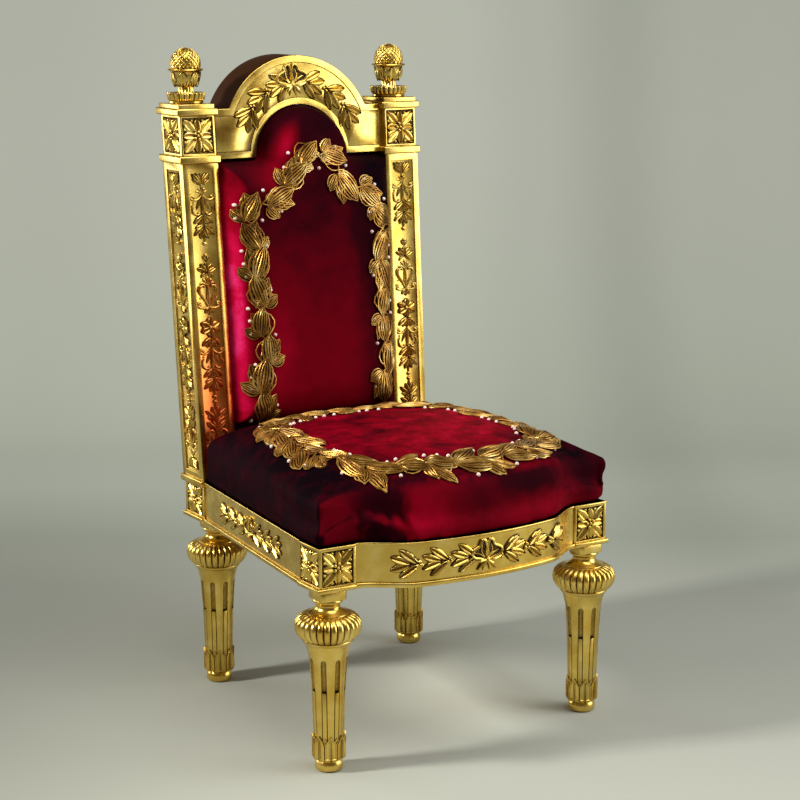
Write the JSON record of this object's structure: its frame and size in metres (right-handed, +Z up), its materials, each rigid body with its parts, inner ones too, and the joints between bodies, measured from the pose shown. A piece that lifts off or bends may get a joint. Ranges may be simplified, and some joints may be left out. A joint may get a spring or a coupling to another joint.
{
  "type": "throne",
  "caption": "Gilded neoclassical throne with a raked back, arched crest, pine-cone finials, turned fluted legs and crimson velvet upholstery worked in gold.",
  "frame": {"origin": "on the floor, under the middle of the throne's bounding box", "axes": "+Z up, the sitter faces -Y, +X to the right as seen from the front"},
  "size_m": [0.6542, 0.7424, 1.2005],
  "materials": {
    "gilded_wood": "carved wood under burnished gold leaf, with a brown patina in the recesses",
    "crimson_velvet": "deep crimson silk velvet",
    "back_lining": "plain dark red cloth on the outside of the back",
    "bare_board": "plain dark board, unfinished",
    "gold_embroidery": "raised gold-thread embroidery",
    "pearls": "small pink-white seed pearls"
  },
  "bodies": {
    "root": {"front_leg_left": "gilded_wood", "front_leg_right": "gilded_wood", "back_post_left": "gilded_wood", "back_post_right": "gilded_wood", "front_rail": "gilded_wood", "side_rail_left": "gilded_wood", "side_rail_right": "gilded_wood", "rear_rail": "gilded_wood", "crest_rail": "gilded_wood", "finial_left": "gilded_wood", "finial_right": "gilded_wood", "back_pad": "crimson_velvet", "seat_cushion": "crimson_velvet", "back_panel": "back_lining", "seat_board": "bare_board"}
  },
  "joints": []
}
